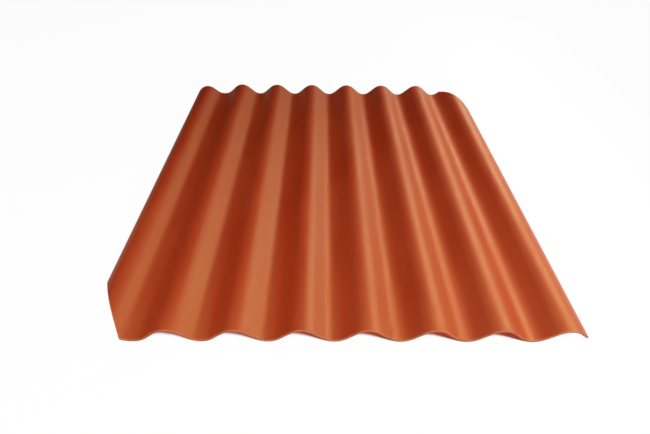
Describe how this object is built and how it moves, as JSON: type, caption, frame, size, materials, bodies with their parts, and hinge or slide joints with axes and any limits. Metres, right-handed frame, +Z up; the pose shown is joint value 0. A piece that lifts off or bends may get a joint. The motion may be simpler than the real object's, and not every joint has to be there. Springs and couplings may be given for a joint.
{
  "type": "fibre cement roof sheet",
  "caption": "Corrugated fibre cement roof sheet in satin terracotta, with full waves, a lower wave along one side for the lap and two diagonally opposite corners mitred.",
  "frame": {"origin": "middle of the sheet's plan, on the level that the undersides of the troughs rest on", "axes": "+Z up out of the weather face, +Y along the waves from the eaves end to the ridge end, +X across the waves from the lower edge wave to the overlapping edge wave"},
  "size_m": [1.13, 1.2, 0.0458],
  "materials": {
    "terracotta_coating": "satin terracotta coating over fibre cement, with a faint orange-peel texture"
  },
  "bodies": {
    "root": {"roof_sheet": "terracotta_coating"}
  },
  "joints": []
}
